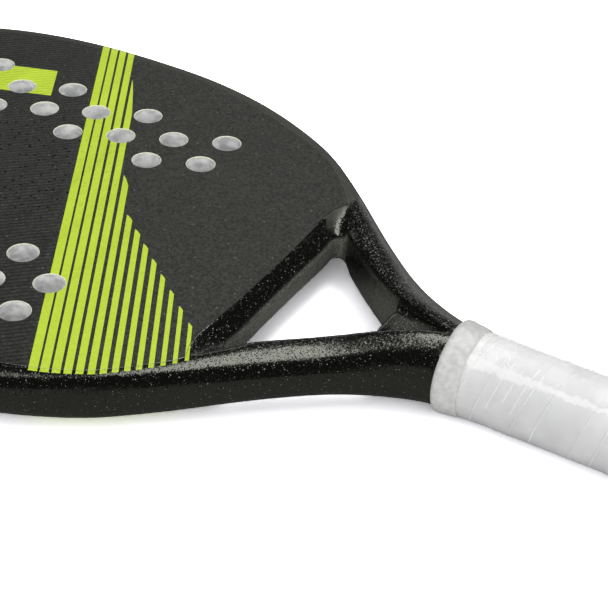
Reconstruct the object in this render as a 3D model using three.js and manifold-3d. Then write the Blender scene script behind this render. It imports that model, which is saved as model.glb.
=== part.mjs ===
// Beach tennis racket, lying flat with its striking faces level.
// X runs across the head, Y runs from the butt of the handle to the top of the head,
// Z runs through the thickness. The origin is the middle of the whole racket's box.
// All lengths are millimetres.
import * as THREE from 'three';
import { mergeVertices } from 'three/addons/utils/BufferGeometryUtils.js';
import Module from 'manifold-3d';

const wasm = await Module();
wasm.setup();

// Lengths that follow each other from the top of the head to the butt: to the widest line,
// on to the shoulder, on to the collar and on to the end
const crownLength = 160;
const cheekLength = 94.4;
const throatLength = 112.6;
const handleLength = 133;
const headWidth = 260;
const frameThickness = 21;

// Frame tube, and the outline that its outer edge follows
const frameTubeWidth = 18;
const frameWall = 1.6;
const lowerHeadReach = 157;
const topRoundness = 2.5;
const shoulderPull = 40.7;
const neckPull = 35.4;
const neckSplay = THREE.MathUtils.degToRad(13.6);
const neckWidth = 34.8;
const neckDepth = 30.6;
const neckFlareLength = 24;
const neckSeatLength = 2.5;
const neckTaperLength = 7.5;
const handleTubeWidth = 24;
const handleTubeDepth = 19;
const tubeEndFromButt = 10;

// Face sheets, foam core and the drilled holes
const skinThickness = 0.8;
const glueLine = 0.1;
const seatGap = 0.3;
const holeDiameter = 13;
const holeRowPitch = 21.4;
const holeFieldMargin = 35.9;
const lowestRowBelowWidest = 57.6;

// Bridge below the head, throat opening and the web between the legs
const faceEndToCollar = 83;
const bridgeSlopeLength = 8.3;
const bridgeSeatDepth = 10;
const throatWallHeight = 11;
const throatCornerReach = 6;
const throatCornerDrop = 5;
const legBlendLength = 14;
const webToCollar = 31;
const webCrown = 2.5;
const webFrontThickness = 10;
const webRearThickness = 25;

// Handle, from the pallets outwards
const palletFrontDiameter = 29.4;
const palletWaistDiameter = 29.2;
const palletHeelDiameter = 31.6;
const palletStartFromCollar = 9;
const gripStartFromCollar = 7;
const gripThickness = 1.7;
const gripStripWidth = 23.5;
const gripPitch = 24;
const gripTipWidth = 1.5;
const gripStartAngle = THREE.MathUtils.degToRad(115);
const filmThickness = 0.3;
const filmStartAngle = THREE.MathUtils.degToRad(236);
const tapeWidth = 6.3;
const tapeThickness = 0.3;
const collarLength = 10.5;
const collarLip = 3;
const collarWall = 0.9;
const collarBead = 0.3;
const collarBeadWidth = 4;

// Butt cap
const capFlangeDiameter = 38.6;
const capEndThickness = 5;
const capSleeveLength = 20;
const capSleeveWall = 1.3;
const capChamfer = 1.2;
const cordChamber = 4;
const cordHoleDiameter = 5;
const cordHoleSpacing = 11;

// How finely round things are faceted
const holeSides = 12;
const roundSides = 24;
const topSteps = 10;
const lowerHeadSteps = 8;
const shoulderSteps = 10;
const sleeveSteps = 4;

// Each cut runs past the piece that it cuts by this much
const cutOverrun = 3;

// Levels that several pieces share
const overallLength = crownLength + cheekLength + throatLength + handleLength;
const topY = overallLength / 2;
const buttY = -topY;
const halfHead = headWidth / 2;
const halfThickness = frameThickness / 2;
const edgeRadius = halfThickness;
const widestY = topY - crownLength;
const shoulderY = widestY - cheekLength;
const collarY = shoulderY - throatLength;
const faceEndY = collarY + faceEndToCollar;
const throatY = faceEndY - bridgeSlopeLength;
const coreEndY = faceEndY + bridgeSeatDepth;
const tubeEndY = buttY + tubeEndFromButt;
const capInnerY = buttY + capEndThickness;
const palletEndY = capInnerY + cordChamber;
const gripFrontY = collarY - gripStartFromCollar;
const gripBackY = capInnerY + seatGap;
const shelfHeight = halfThickness - skinThickness - glueLine;

// Returns a geometry as one closed surface: shared corners merged, no slivers, faces outwards.
function closedGeometry(geometry) {
  geometry.deleteAttribute('normal');
  geometry.deleteAttribute('uv');
  const merged = mergeVertices(geometry);
  const position = merged.attributes.position;
  const corners = merged.index.array;
  const kept = [];
  const a = new THREE.Vector3();
  const b = new THREE.Vector3();
  const c = new THREE.Vector3();
  let volume = 0;
  for (let i = 0; i < corners.length; i += 3) {
    const [p, q, r] = corners.slice(i, i + 3);
    if (p === q || q === r || r === p) continue;
    a.fromBufferAttribute(position, p);
    b.fromBufferAttribute(position, q);
    c.fromBufferAttribute(position, r);
    volume += a.dot(b.cross(c));
    kept.push([p, q, r]);
  }
  const outwards = volume > 0 ? kept : kept.map(([p, q, r]) => [p, r, q]);
  merged.setIndex(outwards.flat());
  return merged;
}

// Turns a closed geometry into a solid that can be joined and cut.
function solidOf(geometry) {
  const closed = closedGeometry(geometry);
  const vertProperties = new Float32Array(closed.attributes.position.array);
  const triVerts = new Uint32Array(closed.index.array);
  return new wasm.Manifold(new wasm.Mesh({ numProp: 3, vertProperties, triVerts }));
}

// Turns a cut solid back into a geometry.
function geometryOf(solid) {
  const mesh = solid.getMesh();
  const geometry = new THREE.BufferGeometry();
  geometry.setAttribute('position', new THREE.BufferAttribute(mesh.vertProperties, 3));
  geometry.setIndex(new THREE.BufferAttribute(mesh.triVerts, 1));
  return geometry;
}

// Skins a row of rings, each with the same number of points, and closes both ends.
function loft(rings) {
  const sides = rings[0].length;
  const points = rings.flat();
  const index = [];
  for (let ring = 0; ring + 1 < rings.length; ring += 1) {
    for (let side = 0; side < sides; side += 1) {
      const next = (side + 1) % sides;
      const here = ring * sides;
      const there = here + sides;
      index.push(here + side, here + next, there + next);
      index.push(here + side, there + next, there + side);
    }
  }
  const last = (rings.length - 1) * sides;
  for (let side = 1; side + 1 < sides; side += 1) {
    index.push(0, side + 1, side);
    index.push(last, last + side, last + side + 1);
  }
  const geometry = new THREE.BufferGeometry().setFromPoints(points);
  geometry.setIndex(index);
  return geometry;
}

// Extrudes a flat outline upwards from one level to another.
function plate(shape, lowZ, highZ) {
  const geometry = new THREE.ExtrudeGeometry(shape, { depth: highZ - lowZ, bevelEnabled: false });
  geometry.translate(0, 0, lowZ);
  return geometry;
}

// Turns a profile of [radius, y] pairs about the handle's axis.
function turned(profile) {
  return new THREE.LatheGeometry(profile.map(([radius, y]) => new THREE.Vector2(radius, y)), roundSides);
}

const smoothShare = (value, start, end) => THREE.MathUtils.smoothstep(value, start, end);
const mix = THREE.MathUtils.lerp;

// The right half of the frame's outer edge, from the top of the head to the collar.
// The top is a full-cheeked oval, the lower head an ellipse, and the shoulder a swept curve.
function headOutline() {
  const points = [];
  for (let step = 0; step < topSteps; step += 1) {
    const angle = (step / topSteps) * Math.PI / 2;
    const x = halfHead * Math.sin(angle) ** (2 / topRoundness);
    const y = widestY + crownLength * Math.cos(angle) ** (2 / topRoundness);
    points.push(new THREE.Vector2(x, y));
  }
  const shoulderSine = cheekLength / lowerHeadReach;
  const shoulderAngle = Math.asin(shoulderSine);
  for (let step = 0; step < lowerHeadSteps; step += 1) {
    const angle = shoulderAngle * step / lowerHeadSteps;
    points.push(new THREE.Vector2(halfHead * Math.cos(angle), widestY - lowerHeadReach * Math.sin(angle)));
  }
  const shoulder = new THREE.Vector2(halfHead * Math.cos(shoulderAngle), shoulderY);
  const slope = new THREE.Vector2(-halfHead * shoulderSine, -lowerHeadReach * Math.cos(shoulderAngle));
  const neck = new THREE.Vector2(neckWidth / 2, collarY);
  const neckHandle = new THREE.Vector2(Math.sin(neckSplay), Math.cos(neckSplay)).multiplyScalar(neckPull);
  const curve = new THREE.CubicBezierCurve(
    shoulder,
    shoulder.clone().addScaledVector(slope.normalize(), shoulderPull),
    neck.clone().add(neckHandle),
    neck,
  );
  points.push(...curve.getSpacedPoints(shoulderSteps));
  return points;
}

// Shares across and through the tube, from its outer edge round the top to its inner wall
// and back below. Head tubes have a rounded rim and a shelf on which the face sheets lie.
const rimAngles = [-90, -67.5, -45, -22.5, 0, 22.5, 45, 67.5, 90].map(THREE.MathUtils.degToRad);

function headSection() {
  const rimShare = edgeRadius / frameTubeWidth;
  const shelfStartShare = (edgeRadius + glueLine) / frameTubeWidth;
  const shelfShare = shelfHeight / halfThickness;
  const rim = rimAngles.map((angle) => [(1 - Math.cos(angle)) * rimShare, Math.sin(angle)]);
  const inner = [[shelfStartShare, shelfShare], [1, shelfShare], [1, 0]];
  return [...rim, ...inner, [1, -shelfShare], [shelfStartShare, -shelfShare]];
}

function roundedSection(rimShare, topInnerShares, wallShare) {
  const rim = rimAngles.map((angle) => [(1 - Math.cos(angle)) * rimShare, Math.sin(angle)]);
  const [acrossShare, heightShare] = topInnerShares;
  const inner = [[acrossShare, heightShare], [1, wallShare], [1, 0]];
  return [...rim, ...inner, [1, -wallShare], [acrossShare, -heightShare]];
}

const legRimShare = 0.5;
const legTopInnerShares = [0.76, 0.9];
const neckRimShare = 0.9;
const neckTopInnerShares = [0.95, 0.96];
const neckWallShare = 0.8;

// Every place along the right half of the tube where its section is set.
function frameStations() {
  const outline = headOutline();
  const stations = outline.map((point, i) => {
    const before = outline[Math.max(i - 1, 0)];
    const after = outline[Math.min(i + 1, outline.length - 1)];
    const along = i === 0 ? new THREE.Vector2(1, 0) : after.clone().sub(before).normalize();
    const inward = new THREE.Vector2(along.y, -along.x);
    const flare = smoothShare(-point.y, -collarY - neckFlareLength, -collarY);
    const halfHeight = mix(halfThickness, neckDepth / 2, flare);
    const innerY = point.y + inward.y * frameTubeWidth;
    const leg = smoothShare(-innerY, -throatY, -throatY + legBlendLength);
    const roomAcross = (point.x - seatGap / 2) / Math.max(-inward.x, Number.EPSILON);
    const legWidth = i === 0 ? frameTubeWidth : Math.min(frameTubeWidth, roomAcross);
    const width = point.y > throatY ? frameTubeWidth : legWidth;
    return { point, inward, halfHeight, width, leg, flare };
  });
  const straight = (y, halfWidth, halfHeight) => ({
    point: new THREE.Vector2(halfWidth, y),
    inward: new THREE.Vector2(-1, 0),
    halfHeight,
    width: halfWidth - seatGap / 2,
    leg: 1,
    flare: 1,
  });
  const seatEndY = collarY - neckSeatLength;
  const taperEndY = seatEndY - neckTaperLength;
  stations.push(straight(seatEndY, neckWidth / 2, neckDepth / 2));
  stations.push(straight(taperEndY, handleTubeWidth / 2, handleTubeDepth / 2));
  stations.push(straight(tubeEndY, handleTubeWidth / 2, handleTubeDepth / 2));
  return stations;
}

// One ring of the tube at a station. A positive inset draws it in, a negative one swells it.
function stationRing(station, inset, mirror) {
  const { point, inward, halfHeight, width, leg, flare } = station;
  const wallShare = throatWallHeight / 2 / halfThickness;
  const head = headSection();
  const legs = roundedSection(legRimShare, legTopInnerShares, wallShare);
  const neck = roundedSection(neckRimShare, neckTopInnerShares, neckWallShare);
  const acrossScale = (width / 2 - inset) / (width / 2);
  const heightScale = (halfHeight - inset) / halfHeight;
  return head.map((shares, i) => {
    const across = mix(mix(shares[0], legs[i][0], leg), neck[i][0], flare) * width;
    const height = mix(mix(shares[1], legs[i][1], leg), neck[i][1], flare) * halfHeight;
    const depth = width / 2 + (across - width / 2) * acrossScale;
    const x = point.x + inward.x * depth;
    const y = point.y + inward.y * depth;
    return new THREE.Vector3(mirror * x, y, height * heightScale);
  });
}

const stations = frameStations();

// The whole loop, left handle end to right handle end, drawn in by the inset.
function frameLoop(inset, endRun) {
  const left = stations.slice(1).reverse().map((station) => stationRing(station, inset, -1));
  const right = stations.map((station) => stationRing(station, inset, 1));
  const rings = [...left, ...right];
  for (const ring of [rings[0], rings[rings.length - 1]]) {
    ring.forEach((corner) => { corner.y -= endRun; });
  }
  return loft(rings);
}

// The part of one leg that lies inside the handle, drawn in or swollen by the inset.
function handleLeg(inset, mirror, frontY, backY) {
  const inside = stations.filter(({ point }) => point.y < frontY);
  const front = { ...inside[0], point: inside[0].point.clone().setY(frontY) };
  const rings = [front, ...inside].map((station) => stationRing(station, inset, mirror));
  rings[rings.length - 1].forEach((corner) => { corner.y = backY; });
  return loft(rings);
}

// The inner wall of the frame, or a line a little inside it, down to a given level.
function innerWall(depthFromEdge, lowestY) {
  const wall = stations.map(({ point, inward }) => point.clone().addScaledVector(inward, depthFromEdge));
  const kept = wall.filter((point) => point.y > lowestY);
  const below = wall[kept.length];
  const lastKept = kept[kept.length - 1];
  const share = (lastKept.y - lowestY) / (lastKept.y - below.y);
  kept.push(lastKept.clone().lerp(below, share));
  return kept;
}

// A closed symmetric outline from its right half, which starts on the centre line.
function mirroredShape(rightHalf) {
  const left = rightHalf.filter(({ x }) => x > 0).reverse();
  return new THREE.Shape([...rightHalf, ...left.map(({ x, y }) => new THREE.Vector2(-x, y))]);
}

// Holes stand in staggered rows. Each row lists its half column steps from the centre line,
// and the outermost holes keep their margin to the tube's inner wall.
const holeHalfSteps = [[5, 7], [4, 6], [5, 7], [4, 6], [5, 7], [4, 6], [5, 7], [2, 4, 6], [1, 3, 5]];
const outermostX = halfHead - frameTubeWidth - holeFieldMargin;
const holeHalfStep = outermostX / Math.max(...holeHalfSteps.flat());

function drilled(geometry) {
  const lowestRowY = widestY - lowestRowBelowWidest;
  const length = frameThickness + 2 * cutOverrun;
  let solid = solidOf(geometry);
  holeHalfSteps.forEach((row, level) => {
    for (const steps of row.flatMap((count) => [count, -count])) {
      const drill = new THREE.CylinderGeometry(holeDiameter / 2, holeDiameter / 2, length, holeSides);
      drill.rotateX(Math.PI / 2);
      drill.translate(steps * holeHalfStep, lowestRowY + level * holeRowPitch, 0);
      solid = solid.subtract(solidOf(drill));
    }
  });
  return geometryOf(solid);
}

// EVA foam slab that fills the head inside the frame tube.
function foamCore() {
  const shape = mirroredShape(innerWall(frameTubeWidth + seatGap, coreEndY + seatGap));
  return drilled(plate(shape, -shelfHeight, shelfHeight));
}

// Fibre laminate sheet, glued over the foam and onto the frame's shelf.
function faceSheet(side) {
  const shape = mirroredShape(innerWall(edgeRadius + seatGap, faceEndY + seatGap));
  const inner = side * (shelfHeight + glueLine);
  const outer = side * halfThickness;
  return drilled(plate(shape, Math.min(inner, outer), Math.max(inner, outer)));
}

// Hollow fibre tube: round the head, down both legs and back through the handle.
function frameTube() {
  const outside = solidOf(frameLoop(0, 0));
  const hollow = solidOf(frameLoop(frameWall, cutOverrun));
  return geometryOf(outside.subtract(hollow));
}

// Yoke that closes the head between the legs. Its edge slopes down to the throat's wall.
function throatBridge() {
  const profile = new THREE.Shape();
  const creaseZ = throatWallHeight / 2;
  const cornerY = throatY - throatCornerDrop - cutOverrun;
  const upper = [
    [coreEndY, shelfHeight],
    [faceEndY, shelfHeight],
    [faceEndY, halfThickness],
    [throatY, creaseZ],
    [cornerY, creaseZ],
  ];
  const lower = upper.map(([y, z]) => [y, -z]).reverse();
  [...upper, ...lower].forEach(([y, z], i) => (i === 0 ? profile.moveTo(y, z) : profile.lineTo(y, z)));
  profile.closePath();
  const beam = new THREE.ExtrudeGeometry(profile, { depth: headWidth, bevelEnabled: false });
  beam.translate(0, 0, -halfHead);
  const across = new THREE.Matrix4().makeBasis(
    new THREE.Vector3(0, 1, 0),
    new THREE.Vector3(0, 0, 1),
    new THREE.Vector3(1, 0, 0),
  );
  beam.applyMatrix4(across);
  const clear = frameTubeWidth + seatGap;
  const sides = innerWall(clear, throatY - throatCornerDrop).filter(({ y }) => y < coreEndY + cutOverrun);
  const corner = sides[sides.length - 1];
  const archStart = new THREE.Vector2(corner.x - throatCornerReach, throatY);
  const arch = new THREE.QuadraticBezierCurve(corner, new THREE.Vector2(corner.x - seatGap, throatY), archStart);
  const right = [new THREE.Vector2(0, sides[0].y), ...sides, ...arch.getPoints(4).slice(1)];
  right.push(new THREE.Vector2(0, throatY));
  const plan = plate(mirroredShape(right), -halfThickness - cutOverrun, halfThickness + cutOverrun);
  return geometryOf(solidOf(beam).intersect(solidOf(plan)));
}

// Wedge between the legs where they close on the handle, thicker towards the collar.
function throatWeb() {
  const frontY = collarY + webToCollar;
  const rearY = collarY + seatGap;
  const rings = [];
  for (let step = 0; step <= shoulderSteps; step += 1) {
    const share = step / shoulderSteps;
    const y = mix(frontY, rearY, share);
    const wall = innerWall(frameTubeWidth + seatGap, y);
    const halfWidth = Math.max(wall[wall.length - 1].x, seatGap);
    const halfHeight = mix(webFrontThickness, webRearThickness, share * share) / 2;
    const front = step === 0 ? webCrown : 0;
    rings.push([
      new THREE.Vector3(halfWidth, y, halfHeight),
      new THREE.Vector3(0, y + front, halfHeight),
      new THREE.Vector3(-halfWidth, y, halfHeight),
      new THREE.Vector3(-halfWidth, y, -halfHeight),
      new THREE.Vector3(0, y + front, -halfHeight),
      new THREE.Vector3(halfWidth, y, -halfHeight),
    ]);
  }
  return loft(rings);
}

// Radius of the bare pallets along the handle: full in front, waisted, swelling at the heel.
function palletRadius(y) {
  const middleY = (gripFrontY + gripBackY) / 2;
  const toWaist = smoothShare(-y, -gripFrontY, -middleY);
  const toHeel = smoothShare(-y, -middleY, -gripBackY);
  const waisted = mix(palletFrontDiameter, palletWaistDiameter, toWaist);
  return mix(waisted, palletHeelDiameter, toHeel) / 2;
}

const sleeveFrontY = capInnerY + capSleeveLength;
const spigotRadius = palletRadius(sleeveFrontY) - capSleeveWall - seatGap;
const gripInnerRadius = (y) => palletRadius(y) + seatGap;
const gripOuterRadius = (y) => gripInnerRadius(y) + gripThickness;

// Half of the rigid foam handle, hollowed to sit on the two legs of the frame.
function handlePallet(side) {
  const frontY = collarY - palletStartFromCollar;
  const profile = [[0, palletEndY], [spigotRadius, palletEndY], [spigotRadius, sleeveFrontY + seatGap]];
  for (let step = 0; step <= sleeveSteps; step += 1) {
    const y = mix(sleeveFrontY + seatGap, frontY, step / sleeveSteps);
    profile.push([palletRadius(y), y]);
  }
  profile.push([0, frontY]);
  const whole = solidOf(turned(profile));
  const thick = neckDepth;
  const length = frontY - palletEndY + 2 * cutOverrun;
  const half = new THREE.BoxGeometry(neckWidth, length, thick);
  half.translate(0, (frontY + palletEndY) / 2, side * (thick + seatGap) / 2);
  const legs = [-1, 1].map((mirror) => solidOf(handleLeg(-seatGap, mirror, collarY, palletEndY - cutOverrun)));
  return geometryOf(whole.intersect(solidOf(half)).subtract(legs[0]).subtract(legs[1]));
}

// Rigid foam that fills one leg of the tube inside the handle.
function legFoam(mirror) {
  const inset = frameWall + seatGap;
  return handleLeg(inset, mirror, collarY - neckSeatLength - seatGap, tubeEndY + seatGap);
}

// A strip wound round the handle from the butt forwards, cut to a taper at both ends.
function woundStrip(name, frontY, backY, innerRadius, thickness, startAngle) {
  const rings = [];
  const edges = [];
  const turns = (frontY - backY + gripStripWidth) / gripPitch;
  const steps = Math.ceil(turns * roundSides);
  for (let step = 0; step <= steps; step += 1) {
    const turn = step / roundSides;
    const lowY = Math.max(backY, backY + turn * gripPitch - gripStripWidth);
    const highY = Math.min(frontY, backY + turn * gripPitch);
    if (highY - lowY < gripTipWidth) continue;
    const angle = startAngle - 2 * Math.PI * turn;
    const corner = (radius, y) => new THREE.Vector3(radius * Math.sin(angle), y, radius * Math.cos(angle));
    rings.push([
      corner(innerRadius(lowY), lowY),
      corner(innerRadius(highY), highY),
      corner(innerRadius(highY) + thickness, highY),
      corner(innerRadius(lowY) + thickness, lowY),
    ]);
    edges.push([lowY, highY]);
  }
  const gaps = edges.slice(roundSides).map(([lowY], i) => lowY - edges[i][1]);
  console.log(`${name}: least gap between turns ${Math.min(...gaps).toFixed(2)} mm`);
  return loft(rings);
}

function baseGrip() {
  return woundStrip('base_grip', gripFrontY, gripBackY, gripInnerRadius, gripThickness, gripStartAngle);
}

const tapeBackY = gripFrontY - tapeWidth;

// Clear film that a new racket's grip is wrapped in, wound part of a turn off the grip.
function gripFilm() {
  const inner = (y) => gripOuterRadius(y) + seatGap;
  return woundStrip('grip_film', tapeBackY - seatGap, gripBackY, inner, filmThickness, filmStartAngle);
}

// Thin tape that holds down the front end of the grip, half under the collar.
function finishingTape() {
  const frontY = gripFrontY;
  const backY = tapeBackY;
  const inner = gripOuterRadius(frontY) + seatGap;
  const outer = inner + tapeThickness;
  return turned([[inner, backY], [outer, backY], [outer, frontY], [inner, frontY], [inner, backY]]);
}

// Rubber sleeve over the front of the grip, with a lip on the neck and a bead round its edge.
function gripCollar() {
  const lipRadius = Math.max(neckWidth, neckDepth) / 2 + seatGap;
  const skirtRadius = gripOuterRadius(gripFrontY) + 2 * seatGap + tapeThickness;
  const outer = Math.max(lipRadius, skirtRadius) + collarWall;
  const lipBackY = collarY - collarLip;
  const backY = collarY - collarLength;
  const beadBackY = collarY - collarBeadWidth;
  return turned([
    [lipRadius, collarY],
    [outer, collarY],
    [outer + collarBead, (collarY + beadBackY) / 2],
    [outer, beadBackY],
    [outer, (beadBackY + backY) / 2],
    [skirtRadius + collarBead, backY],
    [skirtRadius, backY],
    [skirtRadius, lipBackY],
    [lipRadius, lipBackY],
    [lipRadius, collarY],
  ]);
}

// Moulded cap: a sleeve on the pallets, a flange and two holes for a wrist cord.
function buttCap() {
  const flange = capFlangeDiameter / 2;
  const flangeFrontY = capInnerY;
  const sleeveInner = spigotRadius + seatGap;
  const profile = [
    [0, buttY],
    [flange - capChamfer, buttY],
    [flange, buttY + capChamfer],
    [flange, flangeFrontY],
  ];
  for (let step = 0; step <= sleeveSteps; step += 1) {
    const y = mix(flangeFrontY, sleeveFrontY, step / sleeveSteps);
    profile.push([palletRadius(y), y]);
  }
  profile.push([sleeveInner, sleeveFrontY], [sleeveInner, capInnerY], [0, capInnerY]);
  const cap = solidOf(turned(profile));
  const cuts = [-1, 1].map((side) => {
    const length = capEndThickness + 2 * cutOverrun;
    const drill = new THREE.CylinderGeometry(cordHoleDiameter / 2, cordHoleDiameter / 2, length, holeSides);
    drill.translate(side * cordHoleSpacing / 2, (buttY + capInnerY) / 2, 0);
    return solidOf(drill);
  });
  return geometryOf(cap.subtract(cuts[0]).subtract(cuts[1]));
}

const finishes = {
  eva: { color: 0xb9b9b4, roughness: 0.9, metalness: 0 },
  sheet: { color: 0x3f4140, roughness: 0.75, metalness: 0 },
  gloss: { color: 0x161816, roughness: 0.25, metalness: 0 },
  pallet: { color: 0xc9b890, roughness: 0.85, metalness: 0 },
  grip: { color: 0xdedede, roughness: 0.7, metalness: 0 },
  film: { color: 0xeef0f0, roughness: 0.15, metalness: 0 },
  tape: { color: 0xf2f2ee, roughness: 0.5, metalness: 0 },
  rubber: { color: 0xe6e7df, roughness: 0.6, metalness: 0 },
  cap: { color: 0x1b1b1b, roughness: 0.5, metalness: 0 },
};

const racket = new THREE.Group();

function add(name, geometry, finish) {
  const mesh = new THREE.Mesh(closedGeometry(geometry), new THREE.MeshStandardMaterial(finish));
  mesh.name = name;
  racket.add(mesh);
}

add('foam_core', foamCore(), finishes.eva);
add('front_face', faceSheet(1), finishes.sheet);
add('back_face', faceSheet(-1), finishes.sheet);
add('frame_tube', frameTube(), finishes.gloss);
add('throat_bridge', throatBridge(), finishes.gloss);
add('throat_web', throatWeb(), finishes.gloss);
add('left_leg_foam', legFoam(-1), finishes.pallet);
add('right_leg_foam', legFoam(1), finishes.pallet);
add('front_handle_pallet', handlePallet(1), finishes.pallet);
add('back_handle_pallet', handlePallet(-1), finishes.pallet);
add('base_grip', baseGrip(), finishes.grip);
add('grip_film', gripFilm(), finishes.film);
add('finishing_tape', finishingTape(), finishes.tape);
add('grip_collar', gripCollar(), finishes.rubber);
add('butt_cap', buttCap(), finishes.cap);

export default racket;
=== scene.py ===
import math
import bmesh
import bpy
from mathutils import Matrix, Vector
from mathutils.kdtree import KDTree


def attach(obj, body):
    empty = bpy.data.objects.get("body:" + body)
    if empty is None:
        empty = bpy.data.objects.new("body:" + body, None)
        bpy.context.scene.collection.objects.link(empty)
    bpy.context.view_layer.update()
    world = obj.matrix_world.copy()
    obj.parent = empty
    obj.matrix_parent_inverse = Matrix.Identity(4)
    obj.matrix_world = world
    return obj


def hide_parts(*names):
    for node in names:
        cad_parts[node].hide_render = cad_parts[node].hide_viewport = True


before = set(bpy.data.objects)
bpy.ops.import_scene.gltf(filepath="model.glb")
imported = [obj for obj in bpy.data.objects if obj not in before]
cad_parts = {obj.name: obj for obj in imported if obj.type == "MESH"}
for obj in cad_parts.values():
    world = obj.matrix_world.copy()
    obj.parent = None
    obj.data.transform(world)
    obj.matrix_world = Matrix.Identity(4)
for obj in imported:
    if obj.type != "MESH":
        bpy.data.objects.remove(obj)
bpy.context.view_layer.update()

mm = 0.001


# The camera stands off the handle's near side and looks down across the throat.
camera_place = Vector((-0.4432, -0.2825, 0.3692))
camera_right = Vector((0.496328, -0.866397, 0.054900))
camera_down = Vector((-0.492712, -0.333195, -0.803875))
picture_side = 608
focal_pixels = 1553.7
sensor_width = 36.0
camera_data = bpy.data.cameras.new("camera")
camera_data.sensor_width = sensor_width
camera_data.lens = sensor_width * focal_pixels / picture_side
camera = bpy.data.objects.new("camera", camera_data)
bpy.context.scene.collection.objects.link(camera)
camera_axes = Matrix((camera_right, -camera_down, -camera_right.cross(camera_down))).transposed()
camera.matrix_world = Matrix.Translation(camera_place) @ camera_axes.to_4x4()
bpy.context.scene.camera = camera
bpy.context.scene.view_settings.view_transform = "Standard"


# Foam core: a soft closed-cell slab fills the head, drilled right through in staggered
# rows. It is cut to the racket's outline, a full-cheeked oval at the top, an ellipse below
# it and a swept shoulder that runs down the leg to the collar.
half_head = 130 * mm
half_thick = 10.5 * mm
widest_y = 90 * mm
crown = 160 * mm
lower_reach = 157 * mm
cheek = 94.4 * mm
collar_y = -117 * mm
neck_half = 17.4 * mm
neck_half_depth = 15.3 * mm
shoulder_pull = 40.7 * mm
neck_pull = 35.4 * mm
neck_splay = math.radians(13.6)
tube_width = 18 * mm


def outline_point(share):
    """Half the outline, from the top of the head (0) to the collar (1)."""
    crown_end, cheek_end, crown_power = 0.36, 0.56, 0.8
    if share < crown_end:
        angle = share / crown_end * math.pi / 2
        return Vector((half_head * math.sin(angle) ** crown_power,
                       widest_y + crown * math.cos(angle) ** crown_power, 0))
    shoulder_sine = cheek / lower_reach
    shoulder_angle = math.asin(shoulder_sine)
    if share < cheek_end:
        angle = (share - crown_end) / (cheek_end - crown_end) * shoulder_angle
        return Vector((half_head * math.cos(angle), widest_y - lower_reach * math.sin(angle), 0))
    start = Vector((half_head * math.cos(shoulder_angle), widest_y - cheek, 0))
    slope = Vector((-half_head * shoulder_sine, -lower_reach * math.cos(shoulder_angle), 0))
    slope.normalize()
    end = Vector((neck_half, collar_y, 0))
    pull_a = start + slope * shoulder_pull
    pull_b = end + Vector((math.sin(neck_splay), math.cos(neck_splay), 0)) * neck_pull
    t = (share - cheek_end) / (1 - cheek_end)
    rest = 1 - t
    return start * rest**3 + pull_a * 3 * rest**2 * t + pull_b * 3 * rest * t**2 + end * t**3


def even_outline(count):
    """Evenly spaced points of the outline, each with the direction into the racket."""
    fine_count = 1200
    fine = [outline_point(i / fine_count) for i in range(fine_count + 1)]
    reach = [0.0]
    for a, b in zip(fine, fine[1:]):
        reach.append(reach[-1] + (b - a).length)
    points, at = [], 0
    for step in range(count + 1):
        goal = reach[-1] * step / count
        while at < len(fine) - 2 and reach[at + 1] < goal:
            at += 1
        share = (goal - reach[at]) / (reach[at + 1] - reach[at])
        points.append(fine[at].lerp(fine[at + 1], share))
    inwards = []
    for i, point in enumerate(points):
        along = (points[min(i + 1, count)] - points[max(i - 1, 0)]).normalized()
        inwards.append(Vector((along.y, -along.x, 0)))
    inwards[0] = Vector((0, -1, 0))
    return list(zip(points, inwards))


stations = even_outline(count=220)
hole_radius = 6.5 * mm
# The outermost holes stand 76.1 mm, which is seven half steps, from the centre line. The
# rows say how many half steps each hole stands from it, from the lowest row up.
hole_half_step = 76.1 / 7 * mm
hole_row_pitch = 21.4 * mm
lowest_row_y = 32.4 * mm
hole_rows = [[5, 7], [4, 6], [5, 7], [4, 6], [5, 7], [4, 6], [5, 7], [2, 4, 6], [1, 3, 5]]
hole_places = [
    (side * steps * hole_half_step, lowest_row_y + level * hole_row_pitch)
    for level, row in enumerate(hole_rows) for steps in row for side in (-1, 1)
]


def drilled_plate(name, right_half, radius, low, high, edge):
    """A flat plate with the head's holes. Its outline and holes have a rounded edge."""
    curve = bpy.data.curves.new(name, "CURVE")
    curve.dimensions = "2D"
    curve.fill_mode = "BOTH"
    curve.extrude = (high - low) / 2 - edge
    curve.bevel_depth = edge
    curve.bevel_resolution = 2
    curve.offset = -edge
    loops = [right_half + [(-x, y) for x, y in reversed(right_half) if x > 0]]
    turns = 72
    for x, y in hole_places:
        loops.append([(x + radius * math.cos(2 * math.pi * i / turns),
                       y + radius * math.sin(2 * math.pi * i / turns)) for i in range(turns)])
    for loop in loops:
        spline = curve.splines.new("POLY")
        spline.points.add(len(loop) - 1)
        for point, (x, y) in zip(spline.points, loop):
            point.co = (x, y, 0, 1)
        spline.use_cyclic_u = True
    holder = bpy.data.objects.new(name + "_curve", curve)
    bpy.context.scene.collection.objects.link(holder)
    mesh = bpy.data.meshes.new_from_object(holder)
    bpy.data.objects.remove(holder)
    mesh.transform(Matrix.Translation((0, 0, (high + low) / 2)))
    bm = bmesh.new()
    bm.from_mesh(mesh)
    bmesh.ops.remove_doubles(bm, verts=bm.verts, dist=1e-6)
    bmesh.ops.recalc_face_normals(bm, faces=bm.faces)
    bm.to_mesh(mesh)
    bm.free()
    return mesh


def finish_object(name, mesh, materials, nodes, smooth_angle=None):
    mesh.materials.clear()
    for material in materials:
        mesh.materials.append(material)
    mesh.shade_smooth()
    if smooth_angle is not None:
        mesh.set_sharp_from_angle(angle=math.radians(smooth_angle))
    piece = bpy.data.objects.new(name, mesh)
    bpy.context.scene.collection.objects.link(piece)
    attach(piece, "root")
    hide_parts(*nodes)
    return piece


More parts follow.
